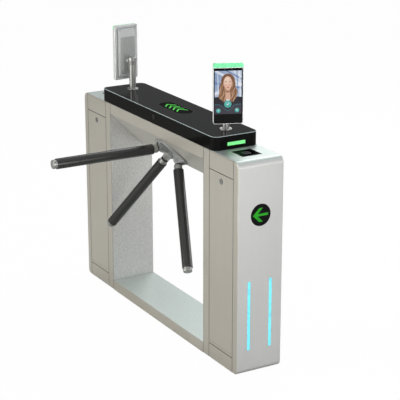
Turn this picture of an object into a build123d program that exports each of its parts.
"""Bridge-type tripod turnstile: two pillars joined by a sill and a beam that carries a three-arm rotor.

Millimetres. X runs along the cabinet, -Y is the passage side that the arms reach into, +Z is up.
The origin is at the centre of the base, on the floor.
"""
from build123d import *
from math import cos, sin, radians, sqrt
import os

os.makedirs("parts", exist_ok=True)

# ---------------------------------------------------------------- cabinet
length = 1500.0            # overall, along X
width = 230.0              # overall, along Y
height = 980.0             # floor to the top of the pillars
pillar_length = 294.0      # each pillar, along X
sheet = 2.0                # stainless sheet
top_radius = 30.0          # bend at the top of each end
bottom_radius = 22.0       # bend at the foot of each end
edge_radius = 5.0          # edge between the end and the sides
seam = 0.8                 # gap between neighbouring panels
cut_reach = 8.0            # how far a cut runs past the sheet it opens
post_length = 52.0         # inner post, along X
end_length = 39.0          # side return of the end panel, along X
door_bottom = 86.0         # floor to the foot of the door
door_top_drop = 83.0       # top of the pillar down to the head of the door
door_return = 12.0         # depth of the door's folded edge
hook_width = 24.0          # tab that hooks a door behind the plinth
hook_inset = 48.0          # door edge to the middle of a hook
tie_border = 48.0          # metal left along the front of a header or plinth tie
hook_depth = 16.0          # how far the tab reaches below the door
sill_height = 52.0         # floor to the top of the sill
sill_plate = 4.0           # flat bar under the sill
base_plate = 8.0           # pillar base plates
anchor_radius = 7.0        # hole for an M12 anchor
anchor_pitch_x = 180.0
anchor_pitch_y = 160.0

# ---------------------------------------------------------------- beam
beam_face = 53.0           # height of the beam's upright front face
beam_depth = 220.0         # top of the beam down to its underside
cable_margin = 40.0        # metal left round the cable opening of an inner post

# ---------------------------------------------------------------- rotor
hub_distance = 130.0       # along the slope, from its front edge to the rotor axis
cone_angle = 45.0          # arm to rotor axis
apex_depth = 35.4          # apex of the arms, behind the slope
arm_count = 3
flange_radius = 95.0
flange_plate = 6.0
flange_gap = 1.0           # rotor flange to the slope
lobe_width = 38.0
lobe_rim = 15.0            # metal round an arm pin
boss_radius = 30.0
boss_height = 17.0
boss_nose_radius = 18.0
boss_nose = 8.0
pin_distance = 85.0        # apex to arm pin
pin_radius = 6.0
pin_proud = 0.8            # pin end beyond the lobe's cheek
flange_chamfer = 1.5
lobe_inset = 3.0           # edge of the flange to the foot of a lobe
lobe_valley = 10.0         # flange to the low side of a lobe
running = 0.05             # radial clearance of pins and shafts
fit_gap = 0.3              # clearance between loose neighbours
shaft_radius = 15.0
shaft_tail = 4.0           # shaft beyond its nut
shaft_head = 12.0          # shaft length inside the boss
housing_flange_radius = 70.0
housing_plate = 6.0
housing_radius = 36.0
housing_room = 8.0         # inner end of the housing to the index disc
bearing_radius = 26.0
bearing_length = 16.0
bearing_inset = 2.0
index_radius = 70.0
index_plate = 12.0
index_wall_gap = 4.4       # index disc to the rear wall, along the rotor axis
index_collar_radius = 19.0
notch_count = 6
notch_width = 14.0
notch_depth = 9.0
nut_radius = 22.0
nut_length = 12.0

# ---------------------------------------------------------------- arms
tongue_thickness = 14.0
tongue_half = 12.0
collar_reach = 20.0        # arm pin to the collar
collar_length = 23.6
collar_radius = 19.5
sleeve_length = 490.0
sleeve_radius = 24.5
sleeve_wall = 2.5
spigot_length = 22.0
cap_length = 20.0
cap_radius = 20.8
cap_round = 4.0
collar_chamfer = 1.0

# ---------------------------------------------------------------- rotor lock
lock_plunger_radius = 6.0
lock_plunger_gap = 4.0     # index disc to the tip of a withdrawn plunger
lock_travel = 8.0
coil_length = 50.0
coil_width = 36.0
coil_height = 28.0
coil_start = 90.0          # rotor axis to the near end of a coil
knob_radius = 9.0
knob_length = 4.0
bracket_plate = 6.0
bracket_half = 172.0
bracket_width = 92.0
bracket_foot = 24.0

# ---------------------------------------------------------------- lid
lid_inset = 204.0          # end of the cabinet to the end of the lid
lid_height = 62.4
lid_gap = 0.6              # pillar top to the lid
lid_wall = 3.0
lid_top = 6.0
lid_corner = 32.0
lid_edge = 3.0
display_length = 245.0
display_width = 84.0
display_plate = 2.7
chevron_count = 4
chevron_pitch = 36.0
chevron_reach = 35.0       # apex to the ends of a chevron, along X
chevron_half = 29.0        # half the opening of a chevron, along Y
chevron_stroke = 9.0
chevron_first = -79.0      # apex of the first chevron
status_half = 45.0
status_low = 16.4          # lid's lower edge to the bar
status_height = 15.0
status_border = 5.0
status_depth = 1.6
lid_lock_height = 33.4     # lid's lower edge to the lock
hinge_offset = 4.5         # rear face to the hinge axis
knuckle_radius = 4.0
knuckle_length = 20.0
hinge_pin_radius = 2.0
leaf_plate = 2.0
leaf_height = 20.0
hinge_inset = 216.0        # end of the lid to each hinge

# ---------------------------------------------------------------- locks
lock_face_radius = 13.0
lock_face = 2.0
lock_barrel_radius = 10.0
lock_barrel = 20.0
lock_key_slot = 1.6
lock_key_depth = 0.8
cam_length = 44.0
cam_width = 16.0
cam_plate = 3.0
door_lock_drop = 34.0      # head of the door down to the lock
door_lock_place = 102.0    # inner edge of the door to the lock

# ---------------------------------------------------------------- end lights and card readers
arrow_radius = 50.0
arrow_height = 732.0
arrow_plate = 5.0
strip_width = 14.0
strip_low = 110.0
strip_high = 432.0
strip_place = 55.0
strip_plate = 5.0
card_near = 72.0           # end of the cabinet to the card window
card_length = 98.0
card_width = 100.0
card_plate = 3.0
reader_margin = 8.0
reader_height = 18.0
module_half = 60.0         # lit module behind each arrow window
module_depth = 24.0

# ---------------------------------------------------------------- terminals
pole_inset = 101.0         # end of the lid to each pole
pole_back = 6.0            # middle of the lid to the poles, away from the lane
pole_flange_radius = 28.0
pole_flange = 4.0
pole_foot_radius = 15.5
pole_top_radius = 18.0
pole_length = 119.0
pole_stud_radius = 9.0
pole_stud = 18.0
swivel_radius = 20.5
swivel_height = 36.6
swivel_flare = 20.0        # height over which the head widens from the pole's radius
swivel_round = 4.0
neck_radius = 10.0
neck_end = 25.5
tilt_distance = 33.0       # pole axis to the tilt pin
tilt_drop = 23.0           # top of the swivel head down to the tilt pin
tongue_radius = 7.5
tilt_tongue = 8.0
ear_radius = 7.0
ear_plate = 5.0
tilt_pin_radius = 3.0
terminal_width = 132.0
terminal_height = 270.0
terminal_rise = 41.0       # lid top to the foot of a terminal
terminal_back = 42.0       # pole axis to the back box
terminal_box = 10.0
terminal_box_inset = 18.0
trough_inset = 10.0        # edge of a terminal to the trough round its back box
trough_depth = 8.0
recess_depth = 3.0         # cable recess in the back box
recess_top = 45.0
recess_near = 5.0
recess_far = 15.0
terminal_slab = 19.0
terminal_corner = 9.0
terminal_edge = 2.5
rim = 2.4
glass_plate = 3.6
light_height = 19.0
light_depth = 5.0 
right_yaw = -23.0          # the right terminal's turn away from +X
left_yaw = 186.5

# ---------------------------------------------------------------- electronics
board_length = 160.0
board_height = 100.0
board_plate = 1.6
standoff = 8.0
standoff_radius = 3.0
board_place = 290.0
chip_count = 4
chip_length = 20.0
chip_height = 30.0
chip_depth = 14.0
supply_length = 120.0
supply_width = 90.0
supply_height = 40.0

# ---------------------------------------------------------------- worked out
half_length = length / 2
half_width = width / 2
window_half = half_length - pillar_length
post_end = window_half + post_length
end_start = half_length - end_length
door_top = height - door_top_drop
lid_base = height + lid_gap
lid_crown = lid_base + lid_height
slope_top = height - beam_face
slope_bottom = height - beam_depth
slope_sum = slope_top - half_width            # y + z all over the slope
half_root = sqrt(0.5)
hub_y = -half_width + hub_distance * half_root
hub_z = slope_top - hub_distance * half_root
outward = Vector(0, -half_root, -half_root)
uphill = Vector(0, -half_root, half_root)
hub_plane = Plane(origin=(0, hub_y, hub_z), x_dir=(1, 0, 0), z_dir=outward)
apex = Vector(0, hub_y, hub_z) - outward * apex_depth
arm_turns = [360 / arm_count * i for i in range(arm_count)]
pin_out = pin_distance * cos(radians(cone_angle)) - apex_depth
pin_ring = pin_distance * sin(radians(cone_angle))
flange_top = flange_gap + flange_plate
rotor_room = (half_width - sheet - hub_y) / half_root      # slope to the rear wall, along the axis
index_centre = rotor_room - index_wall_gap - index_radius - index_plate / 2
housing_depth = index_centre - index_plate / 2 - housing_room
shaft_end = index_centre + index_plate / 2 + nut_length + shaft_tail
collar_start = pin_distance + collar_reach
sleeve_start = collar_start + collar_length
lid_half = half_length - lid_inset
pole_place = lid_half - pole_inset
hinge_place = lid_half - hinge_inset


def block(x0, x1, y0, y1, z0, z1):
    return Pos((x0 + x1) / 2, (y0 + y1) / 2, (z0 + z1) / 2) * Box(x1 - x0, y1 - y0, z1 - z0)


def rod(radius, z0, z1):
    return Pos(0, 0, (z0 + z1) / 2) * Cylinder(radius, z1 - z0)


def rod_x(radius, x0, x1, y=0.0, z=0.0):
    return Pos((x0 + x1) / 2, y, z) * Rot(0, 90, 0) * Cylinder(radius, x1 - x0)


def rod_y(radius, y0, y1, x=0.0, z=0.0):
    return Pos(x, (y0 + y1) / 2, z) * Rot(90, 0, 0) * Cylinder(radius, y1 - y0)


def left(shape):
    return mirror(shape, Plane.YZ)


def save(name, *shapes):
    shape = shapes[0] if len(shapes) == 1 else Compound(children=list(shapes))
    export_step(shape, "parts/" + name + ".step")


def save_pair(name, shape):
    save(name + "_right", shape)
    save(name + "_left", left(shape))


# ================================================================ pillars
def pillar_form(inset):
    """The outside form of the right pillar, or the same form shrunk by inset."""
    side = half_width - inset
    form = block(window_half + inset, half_length - inset, -side, side, inset, height - inset)
    ends = form.edges().filter_by(Axis.Y).group_by(Axis.X)[-1].sort_by(Axis.Z)
    form = fillet(ends[-1], top_radius - inset)
    foot = [e for e in form.edges().filter_by(Axis.Y) if e.center().Z < inset + 0.01]
    form = fillet(ShapeList(foot).sort_by(Axis.X)[-1], bottom_radius - inset)
    rims = [e for e in form.edges()
            if abs(abs(e.center().Y) - side) < 0.01 and e.center().X > window_half + inset + 1]
    return fillet(rims, edge_radius - inset)


pillar_shell = pillar_form(0) - pillar_form(sheet)
pillar_shell -= block(window_half + sheet, end_start, -half_width + sheet, half_width - sheet,
                      -1, sheet + edge_radius)
full = half_width + 1
card_x1 = half_length - card_near
card_x0 = card_x1 - card_length


def end_panel():
    """Bent sheet: the end, its side returns and the top of the pillar back to the inner post."""
    end = pillar_shell & block(end_start + seam / 2, half_length + 1, -full, full, -1, height + 1)
    tongue = pillar_shell & block(post_end + seam / 2, end_start + seam, -full, full,
                                  height - edge_radius, height + 1)
    panel = end + tongue
    reach = sheet + 1
    panel -= rod_x(arrow_radius + fit_gap, half_length - reach, half_length + 1, 0, arrow_height)
    for side in (-1, 1):
        y = side * strip_place
        cut = strip_width / 2 + fit_gap
        panel -= block(half_length - reach, half_length + 1, y - cut, y + cut,
                       strip_low - fit_gap, strip_high + fit_gap)
    panel -= block(card_x0 - fit_gap, card_x1 + fit_gap, -card_width / 2 - fit_gap,
                   card_width / 2 + fit_gap, height - reach, height + 1)
    return panel


def inner_post():
    """Channel that faces the passage window, with an opening for the cables in the beam."""
    post = pillar_shell & block(window_half - 1, post_end - seam / 2, -full, full, -1, height + 1)
    cable = block(window_half - 1, window_half + sheet + 1, -half_width / 2, half_width / 2,
                  slope_top, height - cable_margin / 2)
    return post - cable


def header():
    region = block(post_end + seam / 2, end_start - seam / 2, -full, full,
                   door_top + seam / 2, height - edge_radius - seam)
    front = pillar_shell & region
    tie = block(post_end + seam / 2, end_start - seam / 2, -half_width + sheet, half_width - sheet,
                door_top + seam / 2, door_top + seam / 2 + sheet)
    opening = block(post_end + door_return, end_start - door_return,
                    -half_width + tie_border, half_width - tie_border,
                    door_top - 1, door_top + cut_reach)
    throat = block(post_end + door_return, end_start - door_return,
                   -half_width + sheet + fit_gap, -half_width + tie_border + 1,
                   door_top - 1, door_top + cut_reach)
    return front + tie - opening - throat


door_x0 = post_end + seam / 2
door_x1 = end_start - seam / 2
door_z0 = door_bottom + seam / 2
door_z1 = door_top - seam / 2
lock_x = door_x0 + door_lock_place
lock_z = door_z1 - door_lock_drop


def plinth():
    region = block(post_end + seam / 2, end_start - seam / 2, -full, full, -1, door_bottom - seam / 2)
    skirt = pillar_shell & region
    tie_low, tie_high = door_bottom - seam / 2 - sheet, door_bottom - seam / 2
    tie = block(door_x0, door_x1, -half_width + sheet + 2 * door_return, half_width - sheet,
                tie_low, tie_high)
    hook_inside = hook_inset + hook_width / 2 + fit_gap
    tie += block(door_x0 + hook_inside, door_x1 - hook_inside, -half_width + sheet / 2,
                 -half_width + sheet + 3 * door_return, tie_low, tie_high)
    window = block(post_end + door_return, end_start - door_return,
                   -half_width + sheet + tie_border, half_width - 2 * door_return,
                   door_bottom - cut_reach, door_bottom + 1)
    return skirt + tie - window


def rear_panel():
    return pillar_shell & block(post_end + seam / 2, end_start - seam / 2, 0, full,
                                door_bottom + seam / 2, door_top - seam / 2)


def door():
    """Skin with folded edges and two tabs that hook behind the plinth."""
    face = -half_width
    tray = block(door_x0, door_x1, face, face + door_return, door_z0, door_z1)
    tray -= block(door_x0 + sheet, door_x1 - sheet, face + sheet, face + door_return + 1,
                  door_z0 + sheet, door_z1 - sheet)
    back = face + sheet + fit_gap
    for x in (door_x0 + hook_inset, door_x1 - hook_inset):
        tray += block(x - hook_width / 2, x + hook_width / 2, back, back + sheet,
                      door_z0 - hook_depth, door_z0 + sheet)
    return tray - rod_y(lock_barrel_radius + fit_gap, face - 1, face + sheet + 1, lock_x, lock_z)


def cam_lock(x, z, wall):
    """Key lock that turns about Y: face, barrel through a wall, and a cam that lies along -X."""
    face = -half_width
    lock = rod_y(lock_face_radius, face - lock_face, face - fit_gap / 3, x, z)
    lock += rod_y(lock_barrel_radius, face - fit_gap, face + wall + lock_barrel, x, z)
    lock -= block(x - lock_barrel_radius / 2, x + lock_barrel_radius / 2, face - lock_face - 1,
                  face - lock_face + lock_key_depth, z - lock_key_slot / 2, z + lock_key_slot / 2)
    cam_y = face + wall + lock_barrel
    lock += block(x - cam_length, x + cam_width / 2, cam_y, cam_y + cam_plate,
                  z - cam_width / 2, z + cam_width / 2)
    return lock


save_pair("end_panel", end_panel())
save_pair("inner_post", inner_post())
save("header_panels", header(), left(header()))
save("plinth_panels", plinth(), left(plinth()))
save("rear_panels", rear_panel(), left(rear_panel()))
save_pair("door", door())
save_pair("door_lock", cam_lock(lock_x, lock_z, sheet))


# ================================================================ base and sill
plate_mid = (window_half + sheet + fit_gap + end_start) / 2


def base_plates():
    x0, x1 = window_half + sheet + fit_gap, end_start
    plate = block(x0, x1, -half_width + sheet + fit_gap, half_width - sheet - fit_gap, 0, base_plate)
    for sx in (-1, 1):
        for sy in (-1, 1):
            hole = rod(anchor_radius, -1, base_plate + 1)
            plate -= Pos(plate_mid + sx * anchor_pitch_x / 2, sy * anchor_pitch_y / 2, 0) * hole
    return plate


def sill():
    outer = block(-window_half + seam, window_half - seam, -half_width, half_width, 0, sill_height)
    inner = block(-window_half, window_half, -half_width + sheet, half_width - sheet,
                  -1, sill_height - sheet)
    return outer - inner


save("base_plates", base_plates(), left(base_plates()))
save("sill", sill())
sill_bar_y = half_width - sheet - fit_gap
save("sill_bar", block(-window_half + seam, window_half - seam, -sill_bar_y, sill_bar_y, 0, sill_plate))


# ================================================================ beam
def beam_prism(inset, reach, lift):
    """Beam section with a 45 degree slope, extruded along X and shrunk by inset."""
    side = half_width - inset
    total = slope_sum + inset * sqrt(2)
    under = slope_bottom + inset
    top = height + lift
    points = [(-side, top), (-side, total + side), (total - under, under), (side, under), (side, top)]
    section = Plane.YZ * make_face(Polyline(*points, close=True))
    return Pos(-reach, 0, 0) * extrude(section, amount=2 * reach)


beam_reach = window_half - seam
beam_shell = beam_prism(0, beam_reach, 0) - beam_prism(sheet, beam_reach + 1, 1)
hub_cut = hub_plane * rod(housing_radius + fit_gap, -sheet - 1, 1)
beam_front = beam_shell & block(-half_length, half_length, -full, half_width - sheet - fit_gap,
                                0, height + 1)
beam_rear = beam_shell & block(-half_length, half_length, half_width - sheet, full, 0, height + 1)
save("beam_front", beam_front - hub_cut)
save("beam_rear", beam_rear)


# ================================================================ rotor mechanism
def bearing_housing():
    body = rod(housing_flange_radius, -sheet - housing_plate, -sheet)
    body += rod(housing_radius, -housing_depth, 0)
    body -= rod(bearing_radius, -housing_depth - 1, -housing_depth + bearing_inset + bearing_length)
    body -= rod(bearing_radius, -bearing_inset - bearing_length, 1)
    body -= rod(shaft_radius + sheet, -housing_depth, 0)
    return body


def bearing(z0):
    return (rod(bearing_radius - running / 2, z0, z0 + bearing_length)
            - rod(shaft_radius + running, z0 - 1, z0 + bearing_length + 1))


def index_disc():
    middle = -index_centre
    disc = rod(index_radius, middle - index_plate / 2, middle + index_plate / 2)
    disc += rod(index_collar_radius, middle, -housing_depth + fit_gap)
    for i in range(notch_count):
        slot = block(index_radius - notch_depth, index_radius + 1, -notch_width / 2, notch_width / 2,
                     middle - index_plate, middle + index_plate)
        disc -= Rot(0, 0, 360 / notch_count * i) * slot
    return disc - rod(shaft_radius + running, -shaft_end, 0)


def shaft_nut():
    z1 = -index_centre - index_plate / 2 - fit_gap
    hexagon = extrude(RegularPolygon(nut_radius, 6), amount=nut_length)
    return Pos(0, 0, z1 - nut_length) * hexagon - rod(shaft_radius + running, -shaft_end, 0)


def lobe_outline():
    """Cheek of a lobe in (radius, height): square to the arm outside, round the pin on top."""
    reach = lobe_rim * half_root
    line = pin_ring + pin_out + lobe_rim * sqrt(2)      # radius + height along the outer edge
    foot = flange_radius - lobe_inset
    valley = flange_top + lobe_valley
    drop = pin_out + reach - valley
    outer = Polyline((0, flange_top - 1), (foot, flange_top - 1), (foot, line - foot),
                     (pin_ring + reach, pin_out + reach))
    over = ThreePointArc((pin_ring + reach, pin_out + reach), (pin_ring, pin_out + lobe_rim),
                         (pin_ring - reach, pin_out + reach))
    inner = Polyline((pin_ring - reach, pin_out + reach), (pin_ring - reach - drop, valley),
                     (0, valley), (0, flange_top - 1))
    return make_face(Wire([*outer.edges(), *over.edges(), *inner.edges()]))


def hub():
    body = rod(flange_radius, flange_gap, flange_top)
    body = chamfer(body.edges().filter_by(GeomType.CIRCLE).sort_by(Axis.Z)[-1], flange_chamfer)
    lobe = Pos(-lobe_width / 2, 0, 0) * extrude(Plane.YZ * lobe_outline(), amount=lobe_width)
    for turn in arm_turns:
        body += Rot(0, 0, -turn) * lobe
    body += rod(boss_radius, flange_top - 1, flange_top + boss_height)
    nose = Pos(0, 0, flange_top + boss_height + boss_nose / 2)
    body += nose * Cone(boss_radius, boss_nose_radius, boss_nose)
    half = tongue_thickness / 2 + 2 * fit_gap
    slot = block(-half, half, pin_ring - 2 * tongue_half, flange_radius + 2,
                 pin_out - tongue_half - 1, pin_out + 2 * lobe_rim)
    bore = rod_x(pin_radius + running, -lobe_width, lobe_width, pin_ring, pin_out)
    for turn in arm_turns:
        body -= Rot(0, 0, -turn) * (slot + bore)
    return body - rod(shaft_radius + running, 0, flange_top + shaft_head + fit_gap)


def arm_pins():
    reach = lobe_width / 2 + pin_proud
    pin = rod_x(pin_radius, -reach, reach, pin_ring, pin_out)
    return [hub_plane * (Rot(0, 0, -turn) * pin) for turn in arm_turns]


save("bearing_housing", hub_plane * bearing_housing())
front_bearing = -bearing_inset - bearing_length
rear_bearing = -housing_depth + bearing_inset
save("bearings", hub_plane * bearing(front_bearing), hub_plane * bearing(rear_bearing))
save("main_shaft", hub_plane * rod(shaft_radius, -shaft_end, flange_top + shaft_head))
save("index_disc", hub_plane * index_disc())
save("shaft_nut", hub_plane * shaft_nut())
save("hub", hub_plane * hub())
save("arm_pins", *arm_pins())


# ================================================================ arms
def arm_plane(turn):
    """Arm frame: origin at the apex, Z along the arm, X along the arm's pin."""
    a = radians(turn)
    tangent = Vector(cos(a), 0, 0) - uphill * sin(a)
    radial = Vector(sin(a), 0, 0) + uphill * cos(a)
    along = outward * cos(radians(cone_angle)) + radial * sin(radians(cone_angle))
    return Plane(origin=apex, x_dir=tangent, z_dir=along)


bore_radius = sleeve_radius - sleeve_wall
sleeve_end = sleeve_start + sleeve_length


def arm_knuckle():
    half = tongue_thickness / 2
    tongue = block(-half, half, -tongue_half, tongue_half, pin_distance, collar_start + 1)
    tongue += Pos(0, 0, pin_distance) * Rot(0, 90, 0) * Cylinder(tongue_half, tongue_thickness)
    tongue -= Pos(0, 0, pin_distance) * Rot(0, 90, 0) * Cylinder(pin_radius + running, 2 * lobe_width)
    collar = rod(collar_radius, collar_start, sleeve_start)
    collar = chamfer(collar.edges().filter_by(GeomType.CIRCLE), collar_chamfer)
    return tongue + collar + rod(bore_radius - fit_gap, sleeve_start - 2, sleeve_start + spigot_length)


def arm_sleeve():
    return rod(sleeve_radius, sleeve_start, sleeve_end) - rod(bore_radius, sleeve_start - 1, sleeve_end + 1)


def arm_cap():
    cap = rod(cap_radius, sleeve_end, sleeve_end + cap_length)
    cap = fillet(cap.edges().filter_by(GeomType.CIRCLE).sort_by(Axis.Z)[-1], cap_round)
    return cap + rod(bore_radius - fit_gap, sleeve_end - spigot_length, sleeve_end + 1)


for number, turn in enumerate(arm_turns, 1):
    place = arm_plane(turn)
    save("arm_knuckle_%d" % number, place * arm_knuckle())
    save("arm_sleeve_%d" % number, place * arm_sleeve())
    save("arm_cap_%d" % number, place * arm_cap())


# ================================================================ rotor lock
coil_end = coil_start + coil_length
coil_base = -index_centre + coil_height / 2          # height of the bracket's upper face


def lock_coil():
    low, high = coil_base - coil_height, coil_base
    coil = block(coil_start, coil_end, -coil_width / 2, coil_width / 2, low, high)
    return coil - rod_x(lock_plunger_radius + fit_gap, coil_start - 1, coil_end + 1, 0, -index_centre)


def lock_plunger():
    tip = index_radius + lock_plunger_gap
    tail = coil_end + lock_travel + 1
    plunger = rod_x(lock_plunger_radius, tip, tail + 1, 0, -index_centre)
    return plunger + rod_x(knob_radius, tail, tail + knob_length, 0, -index_centre)


def lock_bracket():
    """Bridge over the housing: a plate on two legs that stand on the back of the slope."""
    half = bracket_width / 2
    top = block(-bracket_half, bracket_half, -half, half, coil_base, coil_base + bracket_plate)
    for s in (-1, 1):
        x0, x1 = sorted((s * bracket_half, s * (bracket_half - bracket_plate)))
        f0, f1 = sorted((s * bracket_half, s * (bracket_half - bracket_foot)))
        top += block(x0, x1, -half, half, coil_base, -sheet)
        top += block(f0, f1, -half, half, -sheet - bracket_plate, -sheet)
    return top - rod(housing_radius + fit_gap, coil_base - 1, coil_base + bracket_plate + 1)


save("lock_bracket", hub_plane * lock_bracket())
save("lock_coils", hub_plane * lock_coil(), hub_plane * left(lock_coil()))
save("lock_plunger_right", hub_plane * lock_plunger())
save("lock_plunger_left", hub_plane * left(lock_plunger()))


# ================================================================ end lights, card readers, electronics
def light_strips():
    pair = []
    for side in (-1, 1):
        y = side * strip_place
        pair.append(block(half_length - strip_plate, half_length, y - strip_width / 2,
                          y + strip_width / 2, strip_low, strip_high))
    return pair + [left(s) for s in pair]


arrow_window = rod_x(arrow_radius, half_length - arrow_plate, half_length, 0, arrow_height)
card_window = block(card_x0, card_x1, -card_width / 2, card_width / 2, height - card_plate, height)
card_reader = block(card_x0 - reader_margin, card_x1 + reader_margin, -card_width / 2 - reader_margin,
                    card_width / 2 + reader_margin, height - card_plate - fit_gap - reader_height,
                    height - card_plate - fit_gap)
save("light_strips", *light_strips())
save("arrow_windows", arrow_window, left(arrow_window))
module_face = half_length - arrow_plate - fit_gap
arrow_module = block(module_face - module_depth, module_face, -module_half, module_half,
                     arrow_height - module_half, arrow_height + module_half)
save("arrow_modules", arrow_module, left(arrow_module))
save("card_windows", card_window, left(card_window))
save("card_readers", card_reader, left(card_reader))


def control_board():
    wall = half_width - sheet
    z0 = (height + slope_bottom - board_height) / 2
    x0 = board_place - board_length / 2
    face = wall - standoff
    board = block(x0, x0 + board_length, face - board_plate, face, z0, z0 + board_height)
    inset = 3 * standoff_radius
    for x in (x0 + inset, x0 + board_length - inset):
        for z in (z0 + inset, z0 + board_height - inset):
            board += rod_y(standoff_radius, face - board_plate, wall, x, z)
    chip_pitch = board_length / chip_count
    chip_z = z0 + (board_height - chip_height) / 2
    for i in range(chip_count):
        chip_x = x0 + (chip_pitch - chip_length) / 2 + i * chip_pitch
        board += block(chip_x, chip_x + chip_length, face - board_plate - chip_depth, face - board_plate,
                       chip_z, chip_z + chip_height)
    return board


save("control_board", control_board())
save("power_supply", block(plate_mid - supply_length / 2, plate_mid + supply_length / 2,
                           -supply_width / 2, supply_width / 2, base_plate, base_plate + supply_height))


# ================================================================ lid
def stadium(grow, z0, z1):
    shape = SlotOverall(display_length + 2 * grow, display_width + 2 * grow)
    return Pos(0, 0, z0) * extrude(shape, amount=z1 - z0)


def chevron(apex_x, grow, z0, z1):
    """A V that points to -X, drawn as two bars of constant stroke."""
    rise = chevron_stroke / sin(radians(45)) / 2
    tip, tail = apex_x - rise, apex_x + rise
    reach = chevron_reach
    points = [(tip, 0), (tip + reach, chevron_half), (tail + reach, chevron_half),
              (tail, 0), (tail + reach, -chevron_half), (tip + reach, -chevron_half)]
    face = make_face(Polyline(*points, close=True))
    if grow:
        face = offset(face, amount=grow, kind=Kind.INTERSECTION)
    return Pos(0, 0, z0) * extrude(face, amount=z1 - z0)


chevrons = [chevron_first + chevron_pitch * i for i in range(chevron_count)]
display_floor = lid_crown - display_plate
status_z = lid_base + status_low
lid_lock_z = lid_base + lid_lock_height


def lid_shell():
    half = lid_half
    lid = block(-half, half, -half_width, half_width, lid_base, lid_crown)
    lid = fillet(lid.edges().filter_by(Axis.Z), lid_corner)
    lid = fillet(lid.faces().sort_by(Axis.Z)[-1].edges(), lid_edge)
    inside = block(-half + lid_wall, half - lid_wall, -half_width + lid_wall, half_width - lid_wall,
                   lid_base - 1, lid_crown - lid_top)
    lid -= fillet(inside.edges().filter_by(Axis.Z), lid_corner - lid_wall)
    lid -= stadium(fit_gap, display_floor, lid_crown + 1)
    for s in (-1, 1):
        x0, x1 = sorted((s * (half - status_depth), s * (half + 1)))
        lid -= block(x0, x1, -status_half - status_border, status_half + status_border,
                     status_z - status_border, status_z + status_height + status_border)
        lid -= Pos(s * pole_place, pole_back, 0) * rod(pole_stud_radius + fit_gap, lid_base, lid_crown + 1)
    return lid - rod_y(lock_barrel_radius + fit_gap, -half_width - 1, -half_width + lid_wall + 1,
                       0, lid_lock_z)


def status_bars():
    bar = block(lid_half - status_depth, lid_half, -status_half, status_half,
                status_z, status_z + status_height)
    return [bar, left(bar)]


def display_window():
    window = stadium(0, display_floor, lid_crown)
    for x in chevrons:
        window -= chevron(x, running, display_floor - 1, lid_crown + 1)
    return window


save("lid_shell", lid_shell())
save("status_bars", *status_bars())
save("display_window", display_window())
save("display_chevrons", *[chevron(x, 0, display_floor, lid_crown) for x in chevrons])
save("lid_lock", cam_lock(0, lid_lock_z, lid_wall))

hinge_y = half_width + hinge_offset
hinge_z = height + lid_gap / 2


def knuckle(x0, x1):
    return rod_x(knuckle_radius, x0, x1, hinge_y, hinge_z)


def fixed_leaf(centre):
    """Leaf on the beam with the two outer knuckles and the pin."""
    half = 1.5 * knuckle_length
    low = hinge_z - knuckle_radius - 1
    leaf = block(centre - half, centre + half, half_width, half_width + leaf_plate,
                 low - leaf_height, low)
    for x0 in (centre - half, centre + half - knuckle_length):
        leaf += knuckle(x0, x0 + knuckle_length)
        leaf += block(x0, x0 + knuckle_length, half_width, hinge_y, low - 1, hinge_z - lid_gap)
    return leaf + rod_x(hinge_pin_radius, centre - half, centre + half, hinge_y, hinge_z)


def lid_leaf(centre):
    """Leaf on the back of the lid with the middle knuckle."""
    half = 1.5 * knuckle_length
    middle = knuckle_length / 2 - fit_gap
    high = hinge_z + knuckle_radius + 1
    leaf = block(centre - half, centre + half, half_width, half_width + leaf_plate,
                 high, high + leaf_height)
    leaf += block(centre - middle, centre + middle, half_width, hinge_y, hinge_z + lid_gap, high + 1)
    leaf += knuckle(centre - middle, centre + middle)
    return leaf - rod_x(hinge_pin_radius + running, centre - half, centre + half, hinge_y, hinge_z)


save("hinge_leaves_fixed", *[fixed_leaf(s * hinge_place) for s in (-1, 1)])
save("hinge_leaves_lid", *[lid_leaf(s * hinge_place) for s in (-1, 1)])


# ================================================================ terminals
# Each is drawn on its pole: +X is the way that the screen faces, Z is measured from the floor.
pole_base = lid_crown + pole_flange
pole_top = pole_base + pole_length
swivel_base = pole_top + fit_gap
swivel_top = swivel_base + swivel_height
tilt_z = swivel_top - tilt_drop
slab_back = terminal_back + terminal_box
slab_front = slab_back + terminal_slab
terminal_foot = lid_crown + terminal_rise
terminal_head = terminal_foot + terminal_height


def pole():
    foot = rod(pole_flange_radius, lid_crown, pole_base)
    foot = fillet(foot.edges().filter_by(GeomType.CIRCLE).sort_by(Axis.Z)[-1], pole_flange / 2)
    column = Pos(0, 0, (pole_base + pole_top) / 2) * Cone(pole_foot_radius, pole_top_radius, pole_length)
    return foot + column + rod(pole_stud_radius, lid_crown - pole_stud, lid_crown + 1)


def swivel_head():
    flare_top = swivel_base + swivel_flare
    head = rod(swivel_radius, flare_top, swivel_top)
    head = fillet(head.edges().filter_by(GeomType.CIRCLE).sort_by(Axis.Z)[-1], swivel_round)
    middle = Pos(0, 0, swivel_base + swivel_flare / 2)
    head += middle * Cone(pole_top_radius, swivel_radius, swivel_flare)
    head += rod_x(neck_radius, 0, neck_end, 0, tilt_z)
    half = tilt_tongue / 2
    head += block(0, tilt_distance, -half, half, tilt_z - tongue_radius, tilt_z + tongue_radius)
    head += rod_y(tongue_radius, -half, half, tilt_distance, tilt_z)
    return head - rod_y(tilt_pin_radius + running, -half - 1, half + 1, tilt_distance, tilt_z)


def slab(inset, x0, x1):
    """Upright rounded slab, the terminal's outline shrunk by inset."""
    half = terminal_width / 2 - inset
    body = block(x0, x1, -half, half, terminal_foot + inset, terminal_head - inset)
    return fillet(body.edges().filter_by(Axis.X), terminal_corner - min(inset, terminal_corner - 1))


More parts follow.
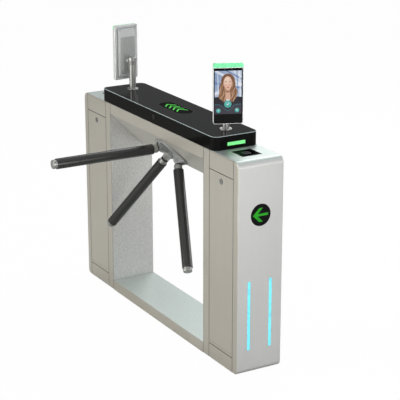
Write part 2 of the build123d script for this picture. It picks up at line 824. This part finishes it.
def terminal_form():
    form = slab(0, slab_back, slab_front)
    form = fillet(form.faces().sort_by(Axis.X)[0].edges(), terminal_edge)
    return fillet(form.faces().sort_by(Axis.X)[-1].edges(), terminal_edge / 2)


def light_region(gap):
    half = terminal_width
    return block(slab_front - light_depth - gap, slab_front + 1, -half, half,
                 terminal_head - light_height - gap, terminal_head + 1)


def terminal_shell():
    shell = terminal_form() - light_region(fit_gap)
    floor = slab_back + trough_depth + rim
    shell -= slab(rim, floor, slab_front + 1) - light_region(fit_gap + rim)
    trough = slab(trough_inset, slab_back - 1, slab_back + trough_depth)
    shell -= trough - slab(terminal_box_inset, slab_back - 1, slab_back + trough_depth)
    shell += slab(terminal_box_inset, terminal_back, slab_back + 1)
    box_half = terminal_width / 2 - terminal_box_inset
    box_foot, box_head = terminal_foot + terminal_box_inset, terminal_head - terminal_box_inset
    shell -= block(terminal_back - 1, terminal_back + recess_depth, -box_half + recess_near,
                   box_half - recess_far, box_foot + recess_near, box_head - recess_top)
    half = tilt_tongue / 2 + fit_gap
    for s in (-1, 1):
        y0, y1 = sorted((s * half, s * (half + ear_plate)))
        shell += block(tilt_distance, terminal_back + recess_depth + 1, y0, y1,
                       tilt_z - ear_radius, tilt_z + ear_radius)
        shell += rod_y(ear_radius, y0, y1, tilt_distance, tilt_z)
    reach = half + ear_plate
    return shell + rod_y(tilt_pin_radius, -reach, reach, tilt_distance, tilt_z)


def terminal_glass():
    glass = slab(rim + fit_gap, slab_front - glass_plate, slab_front - running)
    return glass - light_region(fit_gap + rim + fit_gap)


def terminal_light():
    return terminal_form() & light_region(0)


for side, yaw in ((1, right_yaw), (-1, left_yaw)):
    name = "right" if side > 0 else "left"
    place = Pos(side * pole_place, pole_back, 0) * Rot(0, 0, yaw)
    save("pole_" + name, place * pole())
    save("swivel_head_" + name, place * swivel_head())
    save("terminal_shell_" + name, place * terminal_shell())
    save("terminal_glass_" + name, place * terminal_glass())
    save("terminal_light_" + name, place * terminal_light())
